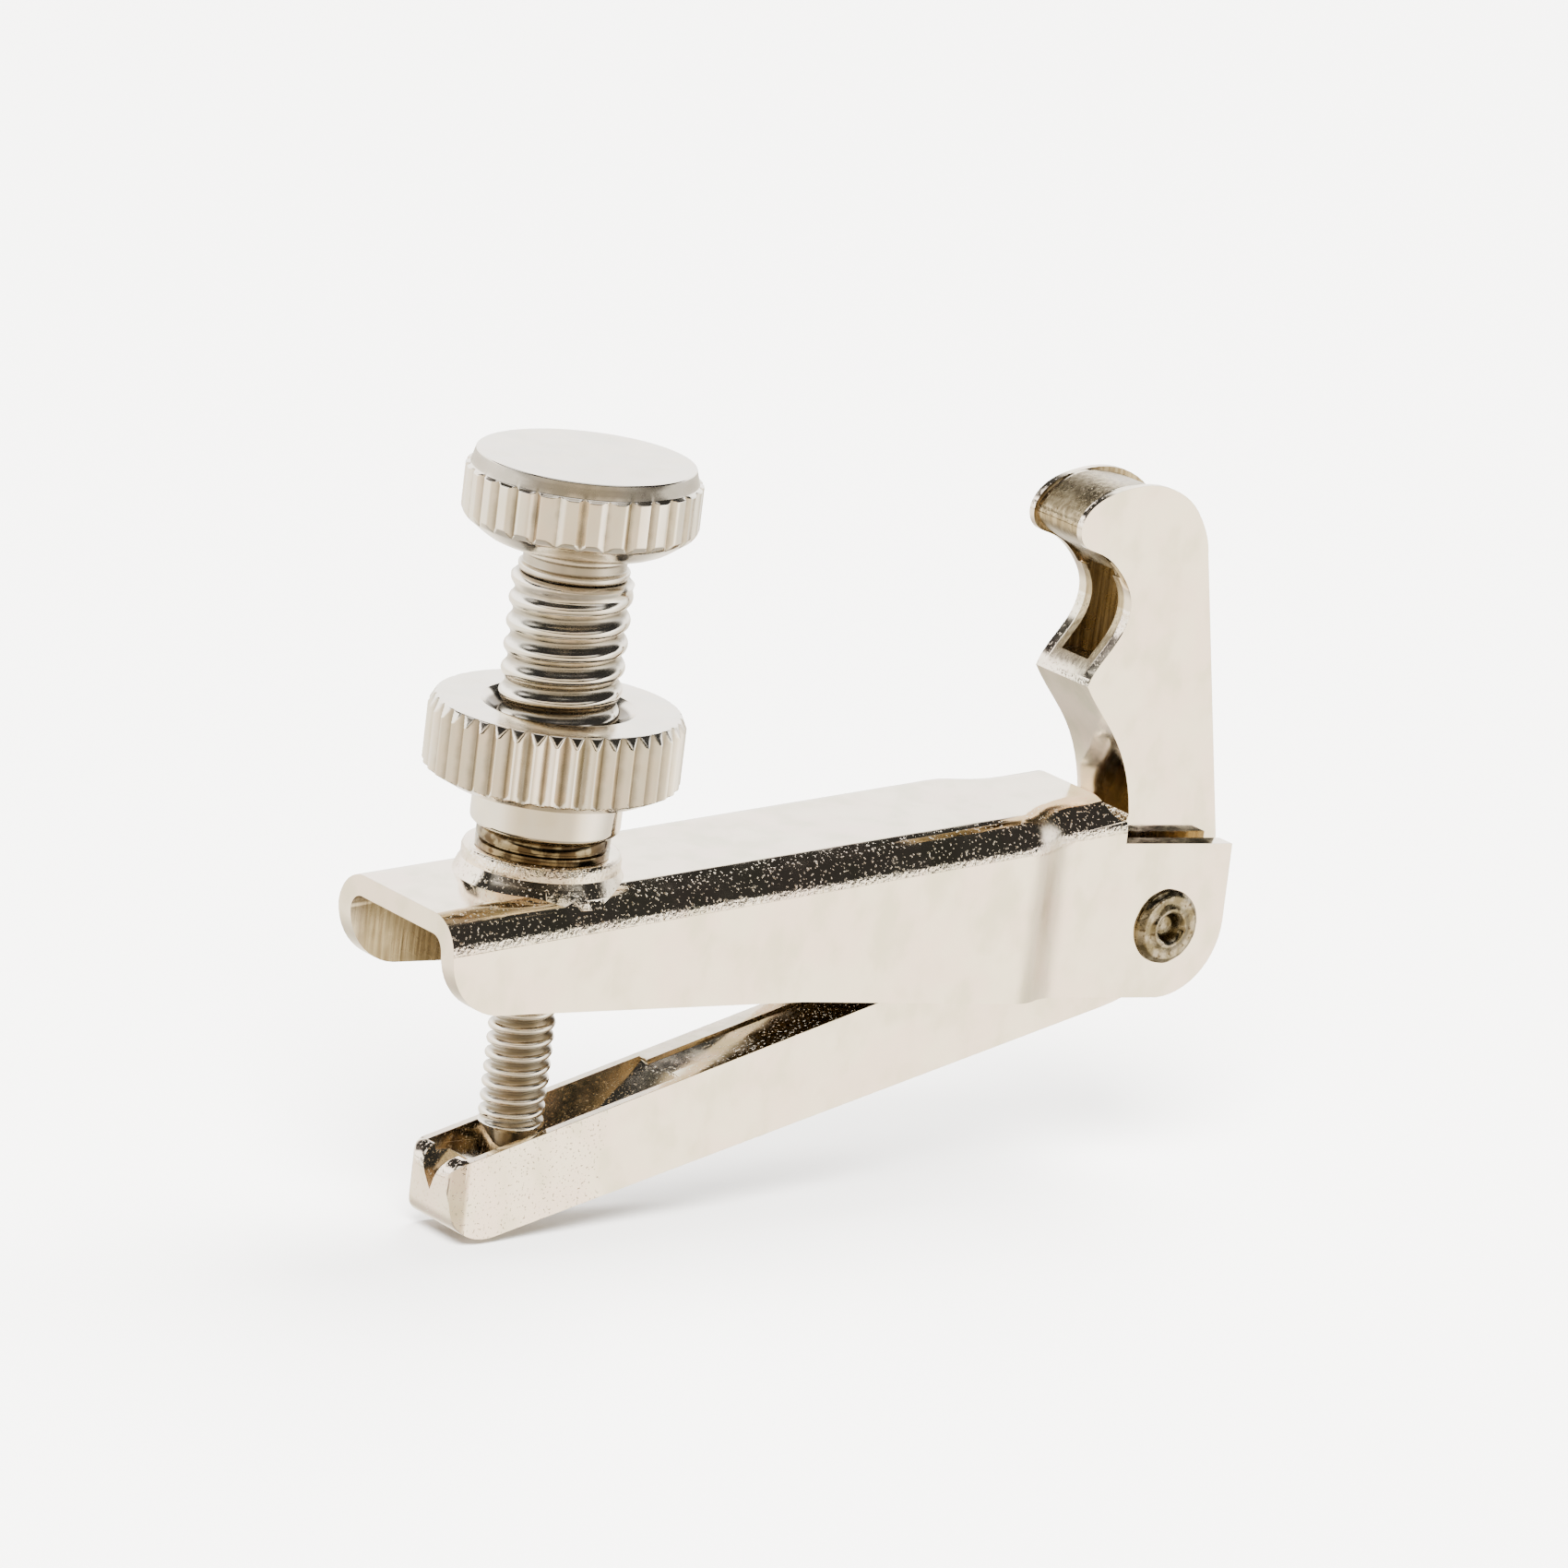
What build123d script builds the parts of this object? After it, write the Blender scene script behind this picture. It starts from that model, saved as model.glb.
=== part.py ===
from build123d import *
from math import cos, pi, radians, sin
import os

# Fine tuner for a bowed string instrument: a screw rocks a lever that pulls on the string.
#
# Millimetres. +Z runs up the screw axis, +X runs along the housing from the screw to the pivot, and the
# origin is the centre of the collar's rim, where the tuner seats against the tailpiece.

# Sheet housing
SHEET = 0.70
HOUSING_LEFT = -5.5
PLATE_END = 22.7
PLATE_TOP = -0.90         # top of the plate at the screw axis
PLATE_SLOPE = 0.061       # the plate rises towards the pivot
HALF_WIDE = 3.25
HALF_EAR = 2.50           # the walls step in towards the lever to make the ears
STEP_START, STEP_END = 17.9, 20.5
BEND = 1.25               # outside radius of the long bends
END_ROLL = 0.8            # the plate's end is rolled over with this radius
FOOT = (-3.3, -4.52)      # lower edge of the side walls, from the foot to the ears
BELLY = (9.0, -5.18)
HIP = (19.8, -6.25)
FOOT_RADIUS = 2.2
EAR_NOTCH = (22.75, -1.05)
EAR_CORNER = (27.45, -1.42)
COLLAR_R = 2.62
COLLAR_BORE = 2.2

# Pivot
PIVOT_X, PIVOT_Z = 24.92, -4.15
EAR_RADIUS = 2.55
PIVOT_R = 0.9
RIVET_BORE, RIVET_PIT = 0.5, 0.55
RIVET_HEAD_R = 1.32
RIVET_HEAD = 0.34
RUNNING = 0.05            # radial clearance of what turns or slides

# Threaded sleeve, washer and lock nut
SLEEVE_R = 2.0
SLEEVE_PITCH = 0.78
SLEEVE_TOP = 9.1
SLEEVE_RING = 0.62        # height of the turned ring above the collar
WASHER_R, WASHER_BOTTOM, WASHER_TOP = 2.46, 0.70, 2.01
NUT_R, NUT_BOTTOM, NUT_TOP = 4.2, 2.05, 4.75
NUT_TEETH = 40

# Adjusting screw
SHANK_R = 1.1
SHANK_PITCH = 0.49
SHANK_TIP = -10.30
HEAD_R, HEAD_BOTTOM, HEAD_TOP = 3.85, 10.07, 12.97
HEAD_FLAT_R = 3.56        # the flat top inside the steep band above the flutes
HEAD_BAND = 0.52
HEAD_FLUTES = 30
STOP_R, STOP_BOTTOM = 1.82, 9.14

# Lever
LEVER_HALF = 1.40
LEVER_SHEET = 0.70
LEVER_GAP = LEVER_HALF - LEVER_SHEET
LEVER_LEFT = -3.05
RIM_Z, RIM_SLOPE = -9.60, 0.247        # upper edge of the long arm
HEEL_Z, HEEL_SLOPE = -12.60, 0.228     # lower edge of the long arm
SEAT_FLOOR = -10.40
SEAT_HALF = 1.12
SEAT_LEFT, SEAT_RIGHT = -2.45, 2.0
RAMP_END = 5.9
TIP_CORNER = 0.65         # outside radius of the two upright bends at the tip
WEB_RECESS = 0.10
NOSE_RECESS = 0.12
NOSE_HALF = 1.15          # half width of the recessed web over the nose, between the plates' thinned rims


def prism(outline, half):
    """A solid with this outline in the XZ plane, reaching half to each side of it."""
    return extrude(Plane.XZ * outline, amount=half, both=True)


def polygon(*points):
    return make_face(Polyline(*points, close=True))


def turned(points):
    """A solid of revolution about the screw axis from (radius, height) points."""
    return revolve(Plane.XZ * polygon(*points), Axis.Z)


def plate_z(x):
    return PLATE_TOP + PLATE_SLOPE * x


def channel_plan(left, right, wide, ear):
    """Top view of the channel, whose sides swing in from the wide part to the ears."""
    middle = (STEP_START + STEP_END) / 2

    def side(sign):
        return [
            Line((left, sign * wide), (STEP_START, sign * wide)),
            Bezier(
                (STEP_START, sign * wide), (middle, sign * wide), (middle, sign * ear), (STEP_END, sign * ear)
            ),
            Line((STEP_END, sign * ear), (right, sign * ear)),
        ]

    ends = [Line((x, wide if x == left else ear), (x, -wide if x == left else -ear)) for x in (left, right)]
    return make_face(Curve() + side(1) + side(-1) + ends)


def channel(inset):
    """The outside of the housing's channel, or with an inset the space inside it, as one solid."""
    left, right = (HOUSING_LEFT - 2, EAR_CORNER[0] + 2) if inset else (HOUSING_LEFT, PLATE_END)
    wide, ear = HALF_WIDE - inset, HALF_EAR - inset
    side = polygon((left, -12), (left, plate_z(left) - inset), (right, plate_z(right) - inset), (right, -12))
    body = prism(side, 6) & extrude(channel_plan(left, right, wide, ear), amount=14, both=True)
    long_edges = [
        e for e in body.edges()
        if abs(e.center().Z - plate_z(e.center().X) + inset) < 0.02 and abs(e.center().Y) > 0.5
    ]
    return fillet(long_edges, BEND - inset)


def ears():
    left, right = EAR_NOTCH[0] - 1, EAR_CORNER[0] + 0.2
    return prism(polygon((left, -12), (left, EAR_NOTCH[1]), (right, EAR_NOTCH[1]), (right, -12)), HALF_EAR)


def wall_outline():
    """Side view of everything the sheet covers, which trims the walls to their edges."""
    chin = (PIVOT_X, PIVOT_Z - EAR_RADIUS)
    cheek = (PIVOT_X + EAR_RADIUS, PIVOT_Z)
    heel = (HOUSING_LEFT, FOOT[1] + FOOT_RADIUS)
    roll_low = (EAR_NOTCH[0], plate_z(PLATE_END) - END_ROLL)
    roll_top = (EAR_NOTCH[0] - END_ROLL, plate_z(PLATE_END - END_ROLL))
    return make_face(
        Curve() + [
            Line(FOOT, BELLY),
            Line(BELLY, HIP),
            Line(HIP, chin),
            RadiusArc(chin, cheek, -EAR_RADIUS),
            Line(cheek, EAR_CORNER),
            Line(EAR_CORNER, EAR_NOTCH),
            Line(EAR_NOTCH, roll_low),
            RadiusArc(roll_low, roll_top, END_ROLL),
            Line(roll_top, (roll_top[0], 3)),
            Line((roll_top[0], 3), (HOUSING_LEFT, 3)),
            Line((HOUSING_LEFT, 3), heel),
            RadiusArc(heel, FOOT, -FOOT_RADIUS),
        ]
    )


def collar():
    lip = 0.22
    flare = 0.35
    base = PLATE_TOP - 0.45
    return turned([
        (0, base), (COLLAR_R + flare, base), (COLLAR_R + flare * 0.3, PLATE_TOP + flare * 0.45),
        (COLLAR_R, PLATE_TOP + flare), (COLLAR_R, -lip), (COLLAR_R - lip * 0.3, -lip * 0.3),
        (COLLAR_R - lip, 0), (0, 0),
    ])


def housing():
    shell = channel(0) + ears() - channel(SHEET)
    shell = shell & prism(wall_outline(), 6)
    shell += collar()
    hole = Cylinder(COLLAR_BORE, 20)
    pivot = Pos(PIVOT_X, 0, PIVOT_Z) * Rot(90, 0, 0) * Cylinder(PIVOT_R, 12)
    return shell - hole - pivot


def groove_rings(radius, depth, pitch, low, high):
    """Outline points of V grooves up the outside of a threaded rod."""
    turns = int((high - low) / pitch + 1e-6)
    crest = pitch * 0.12
    points = []
    for i in range(turns):
        z = low + i * pitch
        points += [(radius, z), (radius, z + crest), (radius - depth, z + (pitch + crest) / 2)]
    return points + [(radius, low + turns * pitch)]


def threaded_sleeve():
    bottom = PLATE_TOP - SHEET - 0.25
    thread = groove_rings(SLEEVE_R, 0.36, SLEEVE_PITCH, SLEEVE_RING + 0.2, SLEEVE_TOP - 0.25)
    bore = SHANK_R + RUNNING
    outline = [(bore, bottom), (COLLAR_BORE, bottom), (COLLAR_BORE, 0.14), (COLLAR_BORE - 0.1, 0.22)]
    outline += [(COLLAR_BORE, 0.30), (COLLAR_BORE, SLEEVE_RING - 0.06), (SLEEVE_R, SLEEVE_RING)]
    outline += thread + [(SLEEVE_R - 0.2, SLEEVE_TOP), (bore, SLEEVE_TOP)]
    return turned(outline)


def clamp_washer():
    cut = 0.16
    bore = SLEEVE_R + RUNNING
    return turned([
        (bore, WASHER_BOTTOM), (WASHER_R - cut, WASHER_BOTTOM), (WASHER_R, WASHER_BOTTOM + cut),
        (WASHER_R, WASHER_TOP - cut), (WASHER_R - cut, WASHER_TOP), (bore, WASHER_TOP),
    ])


def toothed(radius, depth, count, land, low, high):
    """A cylinder with V grooves down its side; land is the share of each pitch left uncut."""
    points = []
    for i in range(count):
        start = 2 * pi * i / count
        flat = 2 * pi / count * land
        valley = start + flat + (2 * pi / count - flat) / 2
        points += [(radius * cos(start), radius * sin(start))]
        if land > 0.05:
            points += [(radius * cos(start + flat), radius * sin(start + flat))]
        points += [((radius - depth) * cos(valley), (radius - depth) * sin(valley))]
    return Pos(0, 0, low) * extrude(polygon(*points), amount=high - low)


def lock_nut():
    crown = 0.2
    mouth = 0.5
    bore = SLEEVE_R + RUNNING
    blank = turned([
        (bore, NUT_BOTTOM), (NUT_R - 0.8, NUT_BOTTOM), (NUT_R, NUT_BOTTOM + 0.42), (NUT_R, NUT_TOP - 0.38),
        (NUT_R - crown, NUT_TOP), (bore + mouth, NUT_TOP), (bore, NUT_TOP - mouth),
    ])
    return blank & toothed(NUT_R, 0.30, NUT_TEETH, 0.0, NUT_BOTTOM, NUT_TOP)


def screw_head():
    belly = 0.9
    valley = HEAD_R - 0.2
    rim_top, rim_bottom = HEAD_TOP - HEAD_BAND, HEAD_BOTTOM + belly
    arc = [
        (HEAD_R - belly * (1 - cos(a)), rim_bottom - belly * sin(a))
        for a in (radians(15 * i) for i in range(1, 7))
    ]
    crown = turned([
        (0, HEAD_BOTTOM), *reversed(arc), (valley, rim_bottom), (valley, rim_top),
        (HEAD_FLAT_R, HEAD_TOP), (0, HEAD_TOP),
    ])
    head = crown + toothed(HEAD_R, HEAD_R - valley, HEAD_FLUTES, 0.5, rim_bottom, rim_top)
    return head - Pos(0, 0, HEAD_BOTTOM - 1) * Cylinder(
        SHANK_R, 2.6, align=(Align.CENTER, Align.CENTER, Align.MIN)
    )


def screw_collar():
    waist = 0.14
    bore = SHANK_R + RUNNING
    top = HEAD_BOTTOM - 0.02
    middle = (STOP_BOTTOM + top) / 2
    return turned([
        (bore, STOP_BOTTOM), (STOP_R, STOP_BOTTOM), (STOP_R - waist, middle), (STOP_R, top), (bore, top),
    ])


def screw_shank():
    top = HEAD_BOTTOM + 1.6
    thread_top = SHANK_TIP + 0.9 + 16 * SHANK_PITCH
    thread = groove_rings(SHANK_R, 0.24, SHANK_PITCH, SHANK_TIP + 0.9, thread_top)
    return turned([(0, SHANK_TIP), (0.5, SHANK_TIP), *thread, (SHANK_R, top), (0, top)])


def pivot_rivet():
    """A rivet with a pit in each end, whose rims are rolled over the ears."""
    end = HALF_EAR + RIVET_HEAD
    roll = RIVET_HEAD_R
    half = [
        (0, end - RIVET_PIT), (RIVET_BORE, end - RIVET_PIT), (RIVET_BORE, end - 0.35),
        (RIVET_BORE + 0.28, end - 0.02), (1.0, end), (roll - 0.12, end - 0.1), (roll, HALF_EAR + 0.1),
        (roll, HALF_EAR), (PIVOT_R, HALF_EAR),
    ]
    outline = half + [(r, -z) for r, z in reversed(half)]
    return Pos(PIVOT_X, 0, PIVOT_Z) * Rot(90, 0, 0) * turned(outline)


def rim_z(x):
    return RIM_Z + RIM_SLOPE * x


def heel_z(x):
    return HEEL_Z + HEEL_SLOPE * x


# Points of the string arm's side plates
ELBOW_IN = (22.3, rim_z(22.3))
NECK = (23.6, -0.4)
THROAT = (22.6, 2.25)
CUSP = (21.03, 4.25)
NOTCH = (22.47, 7.05)
NOSE = (19.88, 9.7)
CROWN = (22.7, 11.15)
SHOULDER = (25.6, 8.6)
BACK = (27.6, -1.3)
HEEL_END = (21.8, heel_z(21.8))


def plate_outline():
    """Side view of the lever: the long arm, the elbow and the string arm."""
    tip_top = (LEVER_LEFT + 0.6, rim_z(LEVER_LEFT + 0.6))
    tip_left = (LEVER_LEFT, rim_z(LEVER_LEFT) - 0.7)
    tip_low = (LEVER_LEFT + 0.15, heel_z(LEVER_LEFT) + 1.25)
    tip_heel = (LEVER_LEFT + 1.85, heel_z(LEVER_LEFT + 1.85))
    tip_run = (Vector(*tip_left) - Vector(*tip_low)).normalized()
    back_run = (Vector(*BACK) - Vector(*SHOULDER)).normalized()
    return make_face(
        Curve() + [
            Line(tip_top, ELBOW_IN),
            Line(ELBOW_IN, NECK),
            Spline(NECK, THROAT, CUSP, tangents=[(-0.15, 1), (-0.55, 0.85)]),
            Spline(
                CUSP, (21.55, 5.1), (22.3, 6.1), NOTCH, (21.95, 8.05), (20.85, 8.88), (20.1, 9.22), NOSE,
                (20.05, 10.25), (20.65, 10.75), (21.6, 11.05), CROWN, (23.8, 10.92), (24.7, 10.36),
                (25.26, 9.6), (25.49, 9.1), SHOULDER,
            ),
            Line(SHOULDER, BACK),
            Spline(BACK, (26.9, -4.6), (25.2, -6.55), HEEL_END, tangents=[back_run, (-1, -HEEL_SLOPE)]),
            Line(HEEL_END, tip_heel),
            Spline(tip_heel, tip_low, tangents=[(-1, -HEEL_SLOPE), tip_run]),
            Line(tip_low, tip_left),
            Spline(tip_left, tip_top, tangents=[tip_run, (1, RIM_SLOPE)]),
        ]
    )


def web_z(x):
    """Top of the web between the long arm's walls: the seat, the ramp, then just below the rims."""
    return rim_z(x) - WEB_RECESS


def upper_recess():
    seat = polygon(
        (SEAT_LEFT, -5), (SEAT_LEFT, SEAT_FLOOR), (SEAT_RIGHT, SEAT_FLOOR), (RAMP_END, web_z(RAMP_END)),
        (RAMP_END, -5),
    )
    slot = polygon(
        (RAMP_END - 1, -3), (RAMP_END - 1, web_z(RAMP_END - 1)), (21.8, web_z(21.8)), (21.8, -3),
    )
    return prism(seat, SEAT_HALF) + prism(slot, LEVER_GAP)


def lower_cavity():
    """The space inside the folded sheet, open along the lower edge and the back."""
    under = LEVER_SHEET + WEB_RECESS
    floor = SEAT_FLOOR - LEVER_SHEET
    corner = 22.9
    inside = polygon(
        (SEAT_LEFT, -16), (SEAT_LEFT, floor), (SEAT_RIGHT + 0.2, floor),
        (RAMP_END + 0.2, rim_z(RAMP_END) - under), (corner, rim_z(corner) - under), (24.3, -0.4), (23.4, 2.5),
        (21.9, 4.4), (23.2, 7.0), (21.3, 9.4), (22.6, 10.2), (24.4, 9.6), (32, 9.6), (32, -16),
    )
    return prism(inside, LEVER_GAP)


def nose_recess():
    """The web over the nose stands a little behind the plates' edges."""
    front, top = NOSE[0] + NOSE_RECESS, CROWN[1] - NOSE_RECESS
    back = (24.9, 10.1)
    face = make_face(
        Curve() + [
            Spline((22.2, 7.9), (21.3, 8.68), (front, 9.7), (20.75, 10.7), (CROWN[0], top), back),
            Polyline(back, (back[0], 13), (17, 13), (17, 7.6), (22.2, 7.9)),
        ]
    )
    return prism(face, NOSE_HALF)


def string_window():
    """Opening in the web where the string passes between the two plates."""
    low, high = 5.0, 8.1
    return prism(polygon((20, low), (26, low), (26, high), (20, high)), LEVER_GAP)


def tip_notch():
    """V cut between the folded corners at the top of the lever's tip."""
    half, up, down = 0.85, 0.5, -1.15
    front = Plane(origin=(LEVER_LEFT - 0.5, 0, rim_z(LEVER_LEFT)), x_dir=(0, 1, 0), z_dir=(1, 0, 0))
    return extrude(front * polygon((-half, up), (0, down), (half, up)), amount=1.6)


def lever_plan():
    """Top view of the lever, with its rounded tip corners, which trims the folded sheet."""
    far = EAR_CORNER[0] + 3
    turn = LEVER_LEFT + TIP_CORNER
    side = LEVER_HALF - TIP_CORNER
    return make_face(
        Curve() + [
            Line((LEVER_LEFT, -side), (LEVER_LEFT, side)),
            RadiusArc((LEVER_LEFT, side), (turn, LEVER_HALF), TIP_CORNER),
            Line((turn, LEVER_HALF), (far, LEVER_HALF)),
            Line((far, LEVER_HALF), (far, -LEVER_HALF)),
            Line((far, -LEVER_HALF), (turn, -LEVER_HALF)),
            RadiusArc((turn, -LEVER_HALF), (LEVER_LEFT, -side), TIP_CORNER),
        ]
    )


def lever():
    body = prism(plate_outline(), LEVER_HALF) & extrude(lever_plan(), amount=30, both=True)
    body = body - upper_recess() - lower_cavity() - nose_recess() - string_window() - tip_notch()
    return body - Pos(PIVOT_X, 0, PIVOT_Z) * Rot(90, 0, 0) * Cylinder(PIVOT_R + RUNNING, 12)


def main():
    os.makedirs("parts", exist_ok=True)
    for make in (
        housing, threaded_sleeve, clamp_washer, lock_nut, screw_head, screw_collar, screw_shank, lever,
        pivot_rivet,
    ):
        solid = make()
        export_step(solid, f"parts/{make.__name__}.step")
        print(make.__name__, round(solid.volume, 3), len(solid.solids()))


main()
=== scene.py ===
from math import ceil, cos, hypot, pi, radians, sin, tau

import bmesh
import bpy
from mathutils import Matrix, Vector, noise


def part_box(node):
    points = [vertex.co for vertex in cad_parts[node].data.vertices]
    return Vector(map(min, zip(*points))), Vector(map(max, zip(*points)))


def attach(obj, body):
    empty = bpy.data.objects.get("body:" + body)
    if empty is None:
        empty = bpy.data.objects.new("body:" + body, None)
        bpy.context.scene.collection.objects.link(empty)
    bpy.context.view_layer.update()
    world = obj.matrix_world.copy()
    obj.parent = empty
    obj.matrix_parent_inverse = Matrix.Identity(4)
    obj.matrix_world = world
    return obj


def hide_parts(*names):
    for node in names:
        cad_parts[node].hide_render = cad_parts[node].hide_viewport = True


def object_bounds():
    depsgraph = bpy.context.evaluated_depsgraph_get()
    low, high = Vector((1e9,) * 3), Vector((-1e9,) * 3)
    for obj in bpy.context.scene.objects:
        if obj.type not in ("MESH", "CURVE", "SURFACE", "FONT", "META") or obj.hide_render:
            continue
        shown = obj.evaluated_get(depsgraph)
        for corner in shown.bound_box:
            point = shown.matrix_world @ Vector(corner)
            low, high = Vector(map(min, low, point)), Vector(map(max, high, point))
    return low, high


# Looks of a fine tuner for a bowed string instrument: plated sheet, cut threads, knurls and a worn rivet.

MM = 0.001

# Turned parts, in millimetres, on the screw axis
RUNNING = 0.05                # radial clearance round the sleeve and the shank
SLEEVE_R, SLEEVE_PITCH, SLEEVE_DEPTH = 2.0, 0.78, 0.18
SHANK_R, SHANK_PITCH, SHANK_DEPTH = 1.1, 0.49, 0.23
SLEEVE_CREST, SHANK_CREST = 0.36, 0.5      # share of the pitch that the rounded crest takes
SHANK_LEAD, SHANK_PLAIN = 0.85, 2.6        # plain lengths at the shank's tip and at its upper end
RING_R = 2.2                  # turned ring at the foot of the sleeve
NUT_TEETH, NUT_TOOTH = 40, 0.27
HEAD_FLUTES, HEAD_FLUTE = 30, 0.17
NUT_MOUTH = 0.5               # chamfer at the top of the nut's bore

# Pivot rivet
PIVOT = Vector((24.92, 0, -4.15))
PIN_R = 0.9                   # the rivet's pin, between its heads
EAR = 2.5                     # outer face of the ears
PIT_DEPTH = 0.5

# Rounded edges of the sheet pieces
LIP_EDGE, EAR_EDGE, SHEET_EDGE = 0.24, 0.26, 0.09
TIP_EDGE, LEVER_EDGE = 0.42, 0.13

# Camera: turn about the screw axis, height above the horizon, lean, and distance
AZIMUTH, ELEVATION, ROLL = radians(39), radians(15.5), radians(7.0)
DISTANCE = 300 * MM
FRAME_WIDTH = 50.75 * MM      # what the picture's width spans at the screw
AIM_RIGHT, AIM_UP = 7.82 * MM, 1.94 * MM
SENSOR = 36.0

# Studio that the metal mirrors: pale walls, which end in the dark ceiling, higher at the back than in front
WALLS, DARK = 2.7, 0.03
CEILING = 0.265               # height of the ceiling's edge at the sides
CEILING_TILT = (0.10, 0.32)   # how it rises along X and Y
CAMERA_SIDE = (-0.606, -0.749, -0.267)
RIGHT_SIDE = (0.958, -0.080, -0.267)
FRONT_CARD = (0.606, -0.749, -0.267)    # what the flat walls mirror
STRIP_SIDE = (-0.629, -0.777, 0)        # middle of the bright strip above the walls
STRIP, LAMP, OVERHEAD = 0.62 * WALLS, 0.8 * WALLS, 0.55 * WALLS
LAMPS = ((-0.407, 0.532, 0.746), (0.155, -0.329, 0.915))
LAMP_EDGE, LAMP_BLUR = 12, 3  # degrees from a lamp's middle to its edge, and how far the edge fades
WARM, NEUTRAL, BROWN = (1.0, 0.925, 0.79, 1), (1.0, 0.985, 0.965, 1), (1.0, 0.86, 0.64, 1)

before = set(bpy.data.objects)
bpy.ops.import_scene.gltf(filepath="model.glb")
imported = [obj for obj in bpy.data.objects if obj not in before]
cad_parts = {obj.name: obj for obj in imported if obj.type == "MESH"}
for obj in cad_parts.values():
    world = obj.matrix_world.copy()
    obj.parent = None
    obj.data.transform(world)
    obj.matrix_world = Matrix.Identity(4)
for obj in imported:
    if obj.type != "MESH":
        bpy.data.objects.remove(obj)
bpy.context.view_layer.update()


def span(node):
    """Lowest point, highest point and outer radius of a turned node, in millimetres."""
    low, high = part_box(node)
    return low.z / MM, high.z / MM, high.x / MM


# ---------------------------------------------------------------- meshes

def add_object(name, mesh, body, node):
    obj = bpy.data.objects.new(name, mesh)
    bpy.context.scene.collection.objects.link(obj)
    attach(obj, body)
    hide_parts(node)
    return obj


def shade(mesh, angle):
    mesh.shade_smooth()
    mesh.set_sharp_from_angle(angle=radians(angle))


def finished(bm, name):
    """The mesh of a bmesh whose doubled points and empty faces are cleared away."""
    bmesh.ops.remove_doubles(bm, verts=bm.verts, dist=1e-7)
    bmesh.ops.dissolve_degenerate(bm, edges=bm.edges, dist=1e-8)
    bmesh.ops.recalc_face_normals(bm, faces=bm.faces)
    mesh = bpy.data.meshes.new(name)
    bm.to_mesh(mesh)
    bm.free()
    return mesh


def ring_of(bm, r, z, segments, shape=None):
    row = []
    for i in range(segments):
        a = tau * i / segments
        radius = shape(a, r, z) if shape else r
        row.append(bm.verts.new((radius * cos(a) * MM, radius * sin(a) * MM, z * MM)))
    return row


def join_rings(bm, rows):
    for row, above in zip(rows, rows[1:]):
        for i in range(len(row)):
            j = (i + 1) % len(row)
            bm.faces.new((row[i], row[j], above[j], above[i]))


def lathe(name, outline, segments, shape=None, crumple=None):
    """A closed mesh turned about the screw axis from (radius, height) points in millimetres.

    shape(angle, radius, height) may return another radius, which cuts knurls. crumple(point) may
    return a shift in metres.
    """
    bm = bmesh.new()
    rows = [ring_of(bm, r, z, segments, shape) for r, z in outline]
    join_rings(bm, rows + rows[:1])
    if crumple:
        for vert in bm.verts:
            vert.co += crumple(vert.co)
    return finished(bm, name)


def threaded(name, radius, depth, pitch, low, high, below, above, segments, share, steps=16):
    """A rod or tube with a right-hand thread from low to high, whose rows of points climb with the helix.

    below and above are the outlines, as (radius, height), that lead into the thread and on from it;
    share is the part of the pitch that the rounded crest takes.
    """
    belly = 0.22              # how far the crest is rounded down, as a share of the depth
    fade_in = 0.6 * pitch     # length over which the groove runs in and out

    def cut(phase):
        if phase < share:
            return belly * (1 - sin(pi * phase / share))
        return belly + (1 - belly) * sin(pi * (phase - share) / (1 - share))

    bm = bmesh.new()
    turns = ceil((high - low) / pitch)
    rows = []
    for k in range(-steps, turns * steps + 1):
        row = []
        for i in range(segments):
            a = tau * i / segments
            z = min(high, max(low, low + pitch * (k / steps + a / tau)))
            fade = min(1.0, (z - low) / fade_in, (high - z) / fade_in)
            r = radius - depth * cut((k / steps) % 1.0) * max(0.0, fade)
            row.append(bm.verts.new((r * cos(a) * MM, r * sin(a) * MM, z * MM)))
        rows.append(row)
    for k in range(len(rows) - 1):
        for i in range(segments - 1):
            bm.faces.new((rows[k][i], rows[k][i + 1], rows[k + 1][i + 1], rows[k + 1][i]))
        if k + steps + 1 < len(rows):
            wrap, after = rows[k + steps], rows[k + steps + 1]
            bm.faces.new((rows[k][-1], wrap[0], after[0], rows[k + 1][-1]))
    foot, top = ring_of(bm, radius, low, segments), ring_of(bm, radius, high, segments)
    lead = [ring_of(bm, r, z, segments) for r, z in below]
    tail = [ring_of(bm, r, z, segments) for r, z in above]
    join_rings(bm, [top, *tail, *lead, foot])
    return finished(bm, name)


def rounded(points, radius=0.08, steps=3):
    """The closed outline with each corner rounded; a radius may be given as a third value of a point."""
    result = []
    count = len(points)
    for k, point in enumerate(points):
        before, after = Vector(points[k - 1][:2]), Vector(points[(k + 1) % count][:2])
        here = Vector(point[:2])
        r = point[2] if len(point) > 2 else radius
        to_before, to_after = before - here, after - here
        reach = min(r, 0.45 * to_before.length, 0.45 * to_after.length)
        if reach <= 1e-6 or here.x < 1e-6:
            result.append(tuple(here))
            continue
        start = here + to_before.normalized() * reach
        end = here + to_after.normalized() * reach
        for s in range(steps + 1):
            t = s / steps
            result.append(tuple(start * (1 - t) ** 2 + here * 2 * t * (1 - t) + end * t ** 2))
    return result


def thicken(outline, step):
    """The closed outline with points added so that no run is longer than step."""
    result = []
    for k, (r, z) in enumerate(outline):
        r2, z2 = outline[(k + 1) % len(outline)]
        count = max(1, round(hypot(r2 - r, z2 - z) / step))
        result += [(r + (r2 - r) * i / count, z + (z2 - z) * i / count) for i in range(count)]
    return result


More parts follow.
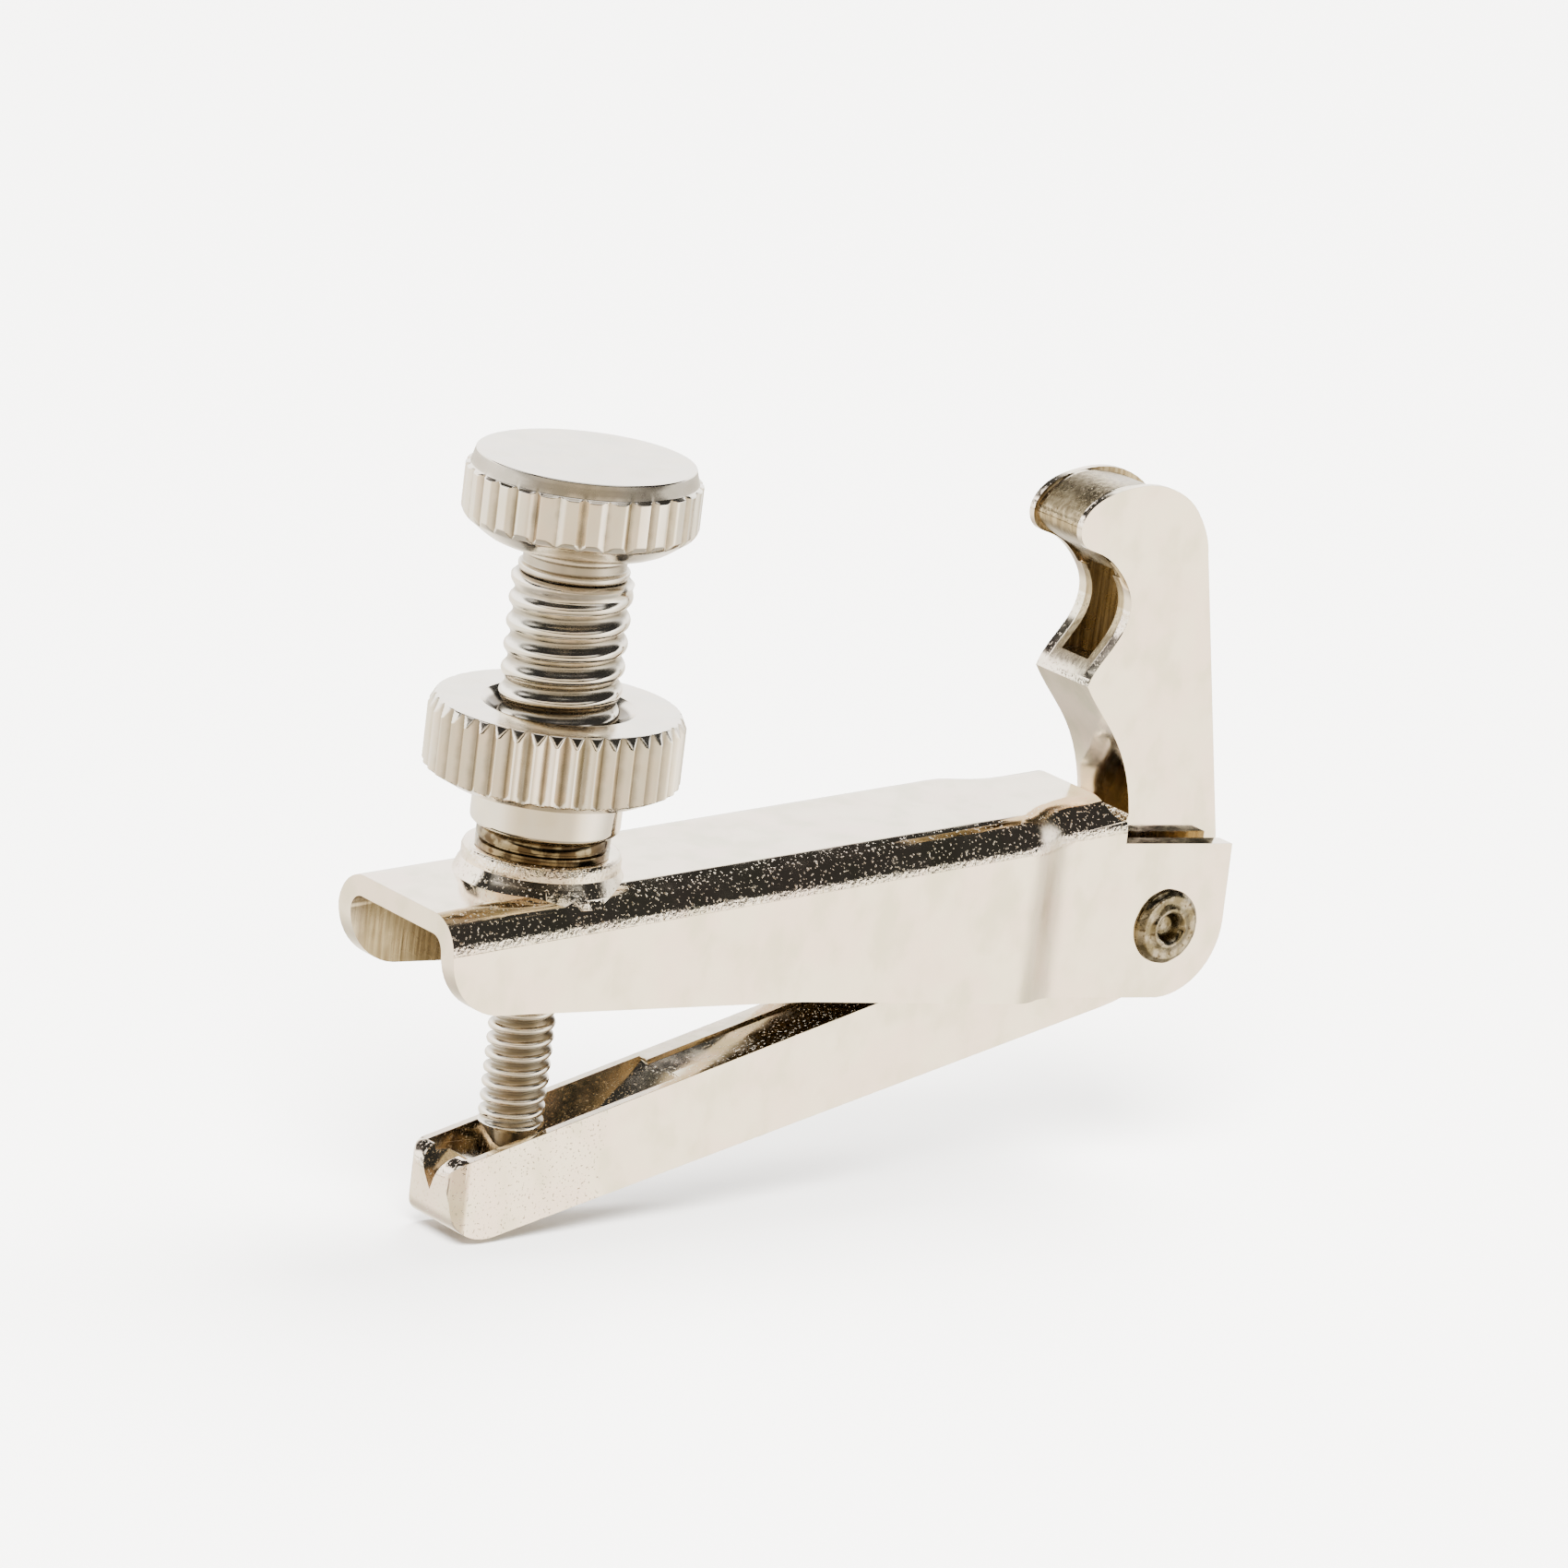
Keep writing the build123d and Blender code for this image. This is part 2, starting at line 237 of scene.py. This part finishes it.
def tooth_cut(radius, depth, count, land, low, high, uneven=0.0):
    """V grooves along the axis that leave a share of each pitch, land, as a flat."""
    def shape(angle, r, z):
        if r < radius - depth - 1e-6 or z < low or z > high:
            return r
        tooth, phase = divmod(angle * count / tau, 1.0)
        worn = 1 + uneven * sin(2.4 * tooth + 1.3 * sin(5.1 * tooth))
        valley = max(0.0, 1 - abs(phase - 0.5) / ((1 - land * worn) / 2))
        return min(r, radius - depth * min(1.0, valley * worn))
    return shape


def soft_edges(node, name, widths, sharp=28):
    """A copy of a CAD node's mesh whose sharp edges are weighted for rounding off.

    widths is a list of (millimetres, test): an edge takes the first width whose test its middle passes.
    """
    bm = bmesh.new()
    bm.from_mesh(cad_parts[node].data)
    bmesh.ops.remove_doubles(bm, verts=bm.verts, dist=2e-6)
    bmesh.ops.dissolve_limit(bm, angle_limit=radians(0.6), verts=bm.verts, edges=bm.edges)
    weight = bm.edges.layers.float.new("bevel_weight_edge")
    widest = max(width for width, _ in widths)
    for edge in bm.edges:
        if len(edge.link_faces) == 2 and edge.calc_face_angle(0) > radians(sharp):
            middle = (edge.verts[0].co + edge.verts[1].co) / 2 / MM
            edge[weight] = next(width for width, test in widths if test(middle)) / widest
    mesh = bpy.data.meshes.new(name)
    bm.to_mesh(mesh)
    bm.free()
    return mesh


# ---------------------------------------------------------------- materials

class Metal:
    """A metal material and short ways to add the nodes that it is made of."""

    def __init__(self, name):
        self.material = bpy.data.materials.new(name)
        self.material.use_nodes = True
        tree = self.material.node_tree
        self.nodes, self.links = tree.nodes, tree.links
        self.shader = self.nodes["Principled BSDF"]
        self.shader.inputs["Metallic"].default_value = 1.0
        self.place = self.nodes.new("ShaderNodeTexCoord")
        self.at = self.nodes.new("ShaderNodeSeparateXYZ")
        self.links.new(self.place.outputs["Object"], self.at.inputs["Vector"])
        self.facing = self.nodes.new("ShaderNodeSeparateXYZ")
        self.links.new(self.place.outputs["Normal"], self.facing.inputs["Vector"])
        self.normal = None

    def noise(self, size, detail=3.0, scale=(1, 1, 1)):
        """Noise whose grain is about size millimetres."""
        mapping = self.nodes.new("ShaderNodeMapping")
        mapping.inputs["Scale"].default_value = scale
        self.links.new(self.place.outputs["Object"], mapping.inputs["Vector"])
        texture = self.nodes.new("ShaderNodeTexNoise")
        texture.inputs["Scale"].default_value = 1 / (size * MM)
        texture.inputs["Detail"].default_value = detail
        self.links.new(mapping.outputs["Vector"], texture.inputs["Vector"])
        return texture.outputs["Fac"]

    def ramp(self, source, start, end, low=0.0, high=1.0):
        node = self.nodes.new("ShaderNodeMapRange")
        node.interpolation_type = "SMOOTHSTEP"
        for key, value in (("From Min", start), ("From Max", end), ("To Min", low), ("To Max", high)):
            node.inputs[key].default_value = value
        self.links.new(source, node.inputs["Value"])
        return node.outputs["Result"]

    def math(self, operation, *values):
        node = self.nodes.new("ShaderNodeMath")
        node.operation = operation
        for socket, value in zip(node.inputs, values):
            if isinstance(value, (int, float)):
                socket.default_value = value
            else:
                self.links.new(value, socket)
        return node.outputs["Value"]

    def radius(self):
        """Distance from the screw axis."""
        squares = [self.math("POWER", self.at.outputs[axis], 2.0) for axis in ("X", "Y")]
        return self.math("SQRT", self.math("ADD", *squares))

    def blend(self, first, second, factor):
        node = self.nodes.new("ShaderNodeMix")
        node.data_type = "RGBA"
        for key, value in (("A", first), ("B", second)):
            if isinstance(value, tuple):
                node.inputs[key].default_value = (*value, 1)
            else:
                self.links.new(value, node.inputs[key])
        self.links.new(factor, node.inputs["Factor"])
        return node.outputs["Result"]

    def bump(self, height, strength, distance):
        """Adds relief of so many millimetres on top of what is there."""
        node = self.nodes.new("ShaderNodeBump")
        node.inputs["Strength"].default_value = strength
        node.inputs["Distance"].default_value = distance * MM
        self.links.new(height, node.inputs["Height"])
        if self.normal:
            self.links.new(self.normal, node.inputs["Normal"])
        self.normal = node.outputs["Normal"]

    def finish(self, colour, roughness):
        self.links.new(colour, self.shader.inputs["Base Color"])
        self.links.new(roughness, self.shader.inputs["Roughness"])
        self.links.new(self.normal, self.shader.inputs["Normal"])
        return self.material


CREAM, PINK, OLIVE = (0.91, 0.81, 0.64), (0.91, 0.76, 0.62), (0.76, 0.69, 0.52)
SILVER = (0.80, 0.765, 0.69)
# painted shade of the sheet's inner faces, a dark and a lighter brown
INNER_SHADE = (0.25, 0.19, 0.105), (0.42, 0.34, 0.20)
# painted shade at the sleeve's foot, in two dark tones
FOOT_SHADE = (0.075, 0.05, 0.025), (0.24, 0.19, 0.11)
# painted shade inside the nut's mouth
MOUTH_SHADE = (0.06, 0.045, 0.025)
BRASS, BRASS_PITS = ((0.18, 0.145, 0.08), (0.35, 0.30, 0.21)), (0.09, 0.065, 0.035)
# painted shade in the grooves of the turned parts
GROOVE_SHADE = (0.23, 0.20, 0.145)


def plating(metal):
    """Nickel's warm white with faint pink and olive clouds."""
    clouds = metal.blend(CREAM, PINK, metal.ramp(metal.noise(2.0), 0.38, 0.62))
    return metal.blend(clouds, OLIVE, metal.ramp(metal.noise(1.3, 5.0, (1, 1, 0.7)), 0.44, 0.70))


def sheet_nickel(name, web=0.0, pressed=False):
    """Plated sheet: grainy where it was bent or drawn, ragged at the bend's lower edge, and brushed and
    darkened with painted shade on its inner faces.

    The string arm's web, closer than web to the middle, takes the painted shade as well. Where a pressed
    sheet's walls step in, they are duller.
    """
    metal = Metal(name)
    up = metal.facing.outputs["Z"]
    bend = metal.math("MULTIPLY", metal.ramp(up, 0.10, 0.34), metal.ramp(up, 0.93, 0.985, 1.0, 0.0))
    collar = metal.ramp(metal.radius(), 2.9 * MM, 3.3 * MM, 1.0, 0.0)
    collar = metal.math("MULTIPLY", collar, metal.ramp(up, 0.8, 0.95, 1.0, 0.0))
    rough_skin = metal.math("MAXIMUM", bend, collar)
    grain = metal.math("MULTIPLY", metal.ramp(metal.noise(0.10, 1.0), 0.65, 0.73), rough_skin)
    ragged = metal.math("MULTIPLY", metal.ramp(up, 0.04, 0.14), metal.ramp(up, 0.30, 0.45, 1.0, 0.0))
    # painted shade on the faces that look in towards the middle of the channel
    outward = metal.math("MULTIPLY", metal.at.outputs["Y"], metal.facing.outputs["Y"])
    painted_shade = metal.ramp(outward, -0.45 * MM, -0.15 * MM, 1.0, 0.0)
    if pressed:
        lip = metal.ramp(metal.at.outputs["X"], -6.2 * MM, -4.6 * MM, 0.35, 1.0)
        painted_shade = metal.math("MULTIPLY", painted_shade, lip)
    # on the lever the painted shade is weaker low down, and it also covers the string arm's web between the
    # walls
    if web:
        painted_shade = metal.math("MULTIPLY", painted_shade, metal.ramp(metal.at.outputs["Z"], 2 * MM, 4 * MM, 0.3, 1.0))
        across = metal.math("ABSOLUTE", metal.at.outputs["Y"])
        between = metal.ramp(across, (web - 0.03) * MM, (web + 0.03) * MM, 1.0, 0.0)
        arm = metal.ramp(metal.at.outputs["Z"], 4.2 * MM, 5.2 * MM)
        painted_shade = metal.math("MAXIMUM", painted_shade, metal.math("MULTIPLY", between, arm))
    streaks = metal.noise(0.16, 3.0, (1, 1, 0.06))

    metal.bump(metal.noise(1.4, 2.0), 0.16, 0.02)
    metal.bump(metal.noise(0.30, 3.0), 0.12, 0.006)
    metal.bump(grain, 1.0, 0.03)
    metal.bump(metal.math("MULTIPLY", metal.noise(0.14, 2.0), ragged), 1.0, 0.05)
    metal.bump(metal.math("MULTIPLY", streaks, painted_shade), 0.55, 0.02)
    # the painted shade takes its two brown tones along the brush streaks
    inner_shade_tone = metal.blend(*INNER_SHADE, metal.ramp(streaks, 0.35, 0.65))
    colour = metal.blend(plating(metal), inner_shade_tone, painted_shade)
    rough = metal.ramp(metal.noise(0.9, 4.0), 0.3, 0.7, 0.06, 0.15)
    if pressed:
        rough = metal.math("ADD", rough, metal.ramp(metal.facing.outputs["X"], 0.08, 0.35, 0.0, 0.22))
    return metal.finish(colour, metal.math("ADD", rough, metal.math("MULTIPLY", painted_shade, 0.18)))


def turned_nickel(name, valley=None, tool_marks=0.3, dull=0.0, flat_ends=False, foot=None, mouth=None):
    """Plated turned metal: tool rings, and painted shade in the grooves, which thins out between two radii,
    valley.

    Flat ends get none of the groove shade. Below the height foot, and inside the radius mouth, painted shade
    darkens the metal.
    """
    metal = Metal(name)
    metal.bump(metal.noise(0.9, 2.0), 0.08, 0.015)
    metal.bump(metal.noise(0.09, 2.0, (0.02, 0.02, 1)), tool_marks, 0.008)
    metal.bump(metal.noise(0.12, 2.0), 0.12, 0.006)
    colour = metal.blend(plating(metal), SILVER, metal.ramp(metal.noise(0.8), 0.3, 0.7, 0.35, 0.75))
    rough = metal.ramp(metal.noise(0.7, 4.0), 0.3, 0.7, 0.08 + dull, 0.20 + dull)
    # painted shade in the grooves, fading out towards the crest radius
    if valley:
        wander = metal.math("MULTIPLY", metal.math("SUBTRACT", metal.noise(0.5), 0.5), 0.12 * MM)
        depth = metal.math("ADD", metal.radius(), wander)
        groove_shade = metal.ramp(depth, valley[0] * MM, valley[1] * MM, 0.7, 0.0)
        if flat_ends:
            side = metal.ramp(metal.math("ABSOLUTE", metal.facing.outputs["Z"]), 0.3, 0.6, 1.0, 0.0)
            groove_shade = metal.math("MULTIPLY", groove_shade, side)
        colour = metal.blend(colour, GROOVE_SHADE, groove_shade)
        rough = metal.math("ADD", rough, metal.math("MULTIPLY", groove_shade, 0.2))
    # painted shade on the chamfer inside the bore's mouth
    if mouth:
        inside = metal.ramp(metal.radius(), (mouth - 0.12) * MM, mouth * MM, 0.9, 0.0)
        colour = metal.blend(colour, MOUTH_SHADE, inside)
    # painted shade below the foot height, mottled between two dark tones
    if foot:
        low = metal.ramp(metal.at.outputs["Z"], (foot - 0.05) * MM, foot * MM, 1.0, 0.0)
        painted_shade = metal.blend(*FOOT_SHADE, metal.ramp(metal.noise(0.45), 0.45, 0.62))
        colour = metal.blend(colour, painted_shade, low)
    return metal.finish(colour, rough)


def rivet_brass(name):
    """Worn rivet: olive brass through thin nickel, pitted and stained."""
    metal = Metal(name)
    metal.bump(metal.noise(0.35, 4.0), 0.55, 0.05)
    metal.bump(metal.noise(0.10, 2.0), 0.35, 0.012)
    worn = metal.blend(*BRASS, metal.ramp(metal.noise(0.38, 4.0), 0.42, 0.64))
    colour = metal.blend(worn, BRASS_PITS, metal.ramp(metal.noise(0.22, 4.0), 0.54, 0.68))
    return metal.finish(colour, metal.ramp(metal.noise(0.3), 0.3, 0.7, 0.16, 0.34))


# ---------------------------------------------------------------- pieces

def sleeve():
    low, top, _ = span("threaded_sleeve")
    bore = SHANK_R + RUNNING
    start, end = 0.66, top - 0.16
    below = [
        (bore, low), (RING_R, low), (RING_R, 0.12), (RING_R - 0.10, 0.17), (RING_R - 0.10, 0.22),
        (RING_R, 0.27), (RING_R, 0.54), (RING_R - 0.05, 0.60), (SLEEVE_R, 0.63),
    ]
    above = [(SLEEVE_R - 0.14, top - 0.02), (SLEEVE_R - 0.2, top), (bore + 0.1, top), (bore, top - 0.1)]
    mesh = threaded(
        "sleeve_threads", SLEEVE_R, SLEEVE_DEPTH, SLEEVE_PITCH, start, end, below, above, 128, SLEEVE_CREST,
    )
    shade(mesh, 50)
    return add_object("sleeve_threads", mesh, "frame", "threaded_sleeve")


def shank():
    tip, top, _ = span("screw_shank")
    start, end = tip + SHANK_LEAD, top - SHANK_PLAIN
    below = [(0, tip), (0.38, tip), (0.52, tip + 0.1), (SHANK_R - 0.12, start - 0.12)]
    above = [(SHANK_R, top), (0, top)]
    mesh = threaded(
        "shank_threads", SHANK_R, SHANK_DEPTH, SHANK_PITCH, start, end, below, above, 72, SHANK_CREST, 12,
    )
    shade(mesh, 50)
    return add_object("shank_threads", mesh, "screw", "screw_shank")


def nut():
    low, top, r = span("lock_nut")
    bore = SLEEVE_R + RUNNING
    outline = rounded([
        (bore, low), (r - 0.8, low, 0.04), (r, low + 0.42, 0.05), (r, top - 0.38, 0.03), (r - 0.2, top, 0.05),
        (bore + NUT_MOUTH, top, 0.05), (bore, top - NUT_MOUTH),
    ])
    mesh = lathe(
        "nut_knurl", thicken(outline, 0.12), NUT_TEETH * 12,
        tooth_cut(r, NUT_TOOTH, NUT_TEETH, 0.06, low, top, 0.12),
    )
    shade(mesh, 30)
    return add_object("nut_knurl", mesh, "nut", "lock_nut")


def washer():
    low, top, r = span("clamp_washer")
    bore = SLEEVE_R + RUNNING
    outline = rounded([(bore, low), (r, low, 0.22), (r, top, 0.22), (bore, top)], 0.05, 5)
    mesh = lathe("washer_ring", outline, 128)
    shade(mesh, 32)
    return add_object("washer_ring", mesh, "washer", "clamp_washer")


def head():
    low, top, r = span("screw_head")
    valley = r - HEAD_FLUTE
    outline = rounded([
        (0, low), (SHANK_R + 0.95, low, 0.3), (r - 1.0, low + 0.08, 0.5), (r - 0.12, low + 0.72, 0.3),
        (r, low + 0.92, 0.05), (r, top - 0.56, 0.04), (valley + 0.02, top - 0.50, 0.03),
        (3.56, top, 0.045), (0, top),
    ], 0.07, 4)
    mesh = lathe(
        "head_knurl", thicken(outline, 0.14), HEAD_FLUTES * 14,
        tooth_cut(r, HEAD_FLUTE, HEAD_FLUTES, 0.46, low + 0.6, top - 0.45, 0.22),
    )
    shade(mesh, 30)
    return add_object("head_knurl", mesh, "screw", "screw_head")


def stop_ring():
    low, top, r = span("screw_collar")
    bore = SHANK_R + RUNNING
    third = (top - low) / 3
    outline = rounded([
        (bore, low), (r - 0.06, low, 0.05), (r, low + 0.12, 0.05), (r, low + third - 0.06, 0.05),
        (r - 0.14, low + third, 0.04), (r - 0.12, low + 2 * third, 0.05),
        (r - 0.02, low + 2 * third + 0.05, 0.05), (r - 0.04, top - 0.05, 0.05), (bore, top),
    ], 0.03, 4)
    mesh = lathe("stop_ring_turned", outline, 96)
    shade(mesh, 35)
    return add_object("stop_ring_turned", mesh, "stop_ring", "screw_collar")


def rivet():
    """Rolled rivet heads, a little crumpled, each round a shallow pit."""
    low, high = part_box("pivot_rivet")
    end, r = high.y / MM, (high.z - low.z) / 2 / MM
    half = [
        (0, end - PIT_DEPTH), (0.36, end - PIT_DEPTH + 0.03), (0.44, end - 0.20), (0.54, end - 0.04),
        (0.66, end), (0.78, end - 0.05), (0.92, end - 0.09), (1.10, end - 0.07), (r - 0.12, end - 0.11),
        (r, end - 0.22),
        (r, EAR + 0.03), (r - 0.06, EAR), (PIN_R, EAR),
    ]
    outline = thicken(rounded(half + [(x, -z) for x, z in reversed(half)], 0.06, 3), 0.08)

    def crumple(point):
        if abs(point.z) < (EAR + 0.02) * MM:
            return Vector((0, 0, 0))
        dent = noise.noise_vector(point / (0.42 * MM)) * 0.022 * MM
        dent.z = min(0.0, dent.z) if point.z > 0 else max(0.0, dent.z)
        inward = Vector((point.x, point.y, 0)) * -0.022
        return Vector((dent.x, dent.y, 1.6 * dent.z)) + inward

    mesh = lathe("rivet_rolled", outline, 72, None, crumple)
    mesh.transform(Matrix.Translation(PIVOT * MM) @ Matrix.Rotation(radians(90), 4, "X"))
    shade(mesh, 40)
    return add_object("rivet_rolled", mesh, "frame", "pivot_rivet")


def sheet_piece(node, name, body, widths):
    mesh = soft_edges(node, name, widths)
    shade(mesh, 40)
    obj = add_object(name, mesh, body, node)
    bevel = obj.modifiers.new("rounded edges", "BEVEL")
    bevel.limit_method = "WEIGHT"
    bevel.width = max(width for width, _ in widths) * MM
    bevel.segments, bevel.use_clamp_overlap = 3, True
    weighted = obj.modifiers.new("weighted normals", "WEIGHTED_NORMAL")
    weighted.keep_sharp = True
    return obj


# ---------------------------------------------------------------- studio

def studio_world():
    """Pale walls all round, a dark ceiling, higher behind the object, two soft lamps and a panel overhead."""
    world = bpy.data.worlds.new("studio")
    bpy.context.scene.world = world
    world.use_nodes = True
    nodes, links = world.node_tree.nodes, world.node_tree.links
    place = nodes.new("ShaderNodeTexCoord")

    def towards(direction):
        node = nodes.new("ShaderNodeVectorMath")
        node.operation = "DOT_PRODUCT"
        node.inputs[1].default_value = direction
        links.new(place.outputs["Generated"], node.inputs[0])
        return node.outputs["Value"]

    def fade(source, start, end, low, high):
        node = nodes.new("ShaderNodeMapRange")
        node.interpolation_type = "SMOOTHSTEP"
        for key, value in (("From Min", start), ("From Max", end), ("To Min", low), ("To Max", high)):
            node.inputs[key].default_value = value
        links.new(source, node.inputs["Value"])
        return node.outputs["Result"]

    def combine(operation, first, second):
        node = nodes.new("ShaderNodeMath")
        node.operation = operation
        links.new(first, node.inputs[0])
        links.new(second, node.inputs[1])
        return node.outputs["Value"]

    def tint(first, second, factor):
        node = nodes.new("ShaderNodeMix")
        node.data_type = "RGBA"
        for key, value in (("A", first), ("B", second)):
            if isinstance(value, tuple):
                node.inputs[key].default_value = value
            else:
                links.new(value, node.inputs[key])
        links.new(factor, node.inputs["Factor"])
        return node.outputs["Result"]

    up = towards((0, 0, 1))
    facing = towards(CAMERA_SIDE)
    height = towards((-CEILING_TILT[0], -CEILING_TILT[1], 1.0))
    light = fade(height, CEILING - 0.03, CEILING + 0.04, WALLS, DARK)
    for source, start, end, first, last in (
        (facing, 0.25, 0.85, 1.0, 0.60),
        (towards(RIGHT_SIDE), cos(radians(44)), cos(radians(6)), 1.0, 0.66),
        (towards(FRONT_CARD), cos(radians(34)), cos(radians(12)), 1.0, 1.3),
        (up, -0.75, -0.45, 0.30, 1.0),
        (up, -0.12, 0.10, 1.0, 1.4),
    ):
        light = combine("MULTIPLY", light, fade(source, start, end, first, last))
    strip = combine("MULTIPLY", fade(up, 0.22, 0.30, 0.0, STRIP), fade(up, 0.42, 0.52, 1.0, 0.0))
    strip = combine("MULTIPLY", strip, fade(towards(STRIP_SIDE), 0.25, 0.55, 0.0, 1.0))
    light = combine("MAXIMUM", light, strip)
    for direction in LAMPS:
        edges = [cos(radians(LAMP_EDGE + blur)) for blur in (LAMP_BLUR, -LAMP_BLUR)]
        light = combine("MAXIMUM", light, fade(towards(direction), *edges, 0.0, LAMP))
    light = combine("MAXIMUM", light, fade(up, 0.88, 0.93, 0.0, OVERHEAD))
    links.new(light, nodes["Background"].inputs["Strength"])
    colour = tint(WARM, NEUTRAL, fade(up, -0.15, 0.10, 0.0, 1.0))
    colour = tint(colour, BROWN, fade(facing, 0.25, 0.85, 0.0, 1.0))
    links.new(colour, nodes["Background"].inputs["Color"])


def area_light(name, place, aim, size, power):
    """A lamp that lights the floor but isn't mirrored in the metal."""
    data = bpy.data.lights.new(name, "AREA")
    data.size, data.energy = size, power
    data.color = (1.0, 0.985, 0.96)
    lamp = bpy.data.objects.new(name, data)
    lamp.location = place
    lamp.rotation_euler = (Vector(aim) - Vector(place)).to_track_quat("-Z", "Y").to_euler()
    lamp.visible_glossy = False
    bpy.context.scene.collection.objects.link(lamp)


def floor(height):
    bm = bmesh.new()
    bmesh.ops.create_grid(bm, x_segments=1, y_segments=1, size=3.0)
    mesh = bpy.data.meshes.new("floor")
    bm.to_mesh(mesh)
    bm.free()
    obj = bpy.data.objects.new("floor", mesh)
    obj.location.z = height
    bpy.context.scene.collection.objects.link(obj)
    material = bpy.data.materials.new("pale_floor")
    material.use_nodes = True
    shader = material.node_tree.nodes["Principled BSDF"]
    shader.inputs["Base Color"].default_value = (0.90, 0.895, 0.885, 1)
    shader.inputs["Roughness"].default_value = 0.9
    mesh.materials.append(material)
    obj.visible_glossy = False


def camera():
    back = Vector((-sin(AZIMUTH) * cos(ELEVATION), -cos(AZIMUTH) * cos(ELEVATION), sin(ELEVATION)))
    level = Vector((cos(AZIMUTH), -sin(AZIMUTH), 0))
    upright = back.cross(level)
    right = level * cos(ROLL) + upright * sin(ROLL)
    up = back.cross(right)
    data = bpy.data.cameras.new("camera")
    data.sensor_width = SENSOR
    data.lens = SENSOR * DISTANCE / FRAME_WIDTH
    obj = bpy.data.objects.new("camera", data)
    place = right * AIM_RIGHT + up * AIM_UP + back * DISTANCE
    obj.matrix_world = Matrix((
        (right.x, up.x, back.x, place.x), (right.y, up.y, back.y, place.y), (right.z, up.z, back.z, place.z),
        (0, 0, 0, 1),
    ))
    data.clip_start, data.clip_end = 0.01, 20
    bpy.context.scene.collection.objects.link(obj)
    bpy.context.scene.camera = obj


def dress(obj, material):
    obj.data.materials.append(material)


def main():
    dress(sleeve(), turned_nickel("nickel_sleeve", (1.83, 1.95), foot=0.64))
    dress(shank(), turned_nickel("nickel_shank", (0.92, 1.13), dull=0.05))
    dress(nut(), turned_nickel("nickel_nut", (3.93, 4.12), 0.12, flat_ends=True, mouth=2.42))
    dress(washer(), turned_nickel("nickel_washer"))
    dress(head(), turned_nickel("nickel_head", (3.66, 3.80), 0.10, flat_ends=True))
    dress(stop_ring(), turned_nickel("nickel_stop_ring", (1.66, 1.90), 0.5, 0.04))
    housing = sheet_piece("housing", "housing_sheet", "frame", [
        (LIP_EDGE, lambda middle: middle.x < -5.3),                         # the left end's lip
        (EAR_EDGE, lambda middle: middle.x > 22.9 and middle.z > -1.6),     # the ears' upper edges
        (SHEET_EDGE, lambda middle: True),
    ])
    dress(housing, sheet_nickel("nickel_housing", pressed=True))
    lever = sheet_piece("lever", "lever_sheet", "rocker", [
        (TIP_EDGE, lambda middle: middle.x < -2.2),                         # the long arm's tip
        (LEVER_EDGE, lambda middle: True),
    ])
    dress(lever, sheet_nickel("nickel_lever", 1.02))
    dress(rivet(), rivet_brass("brass_rivet"))

    studio_world()
    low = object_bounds()[0]
    floor(low[2] - 0.2 * MM)
    area_light("key", (-0.35, -0.45, 0.75), (0.01, 0, 0), 0.5, 52.0)
    area_light("fill", (0.5, 0.2, 0.8), (0.01, 0, 0), 0.7, 46.0)
    camera()


main()
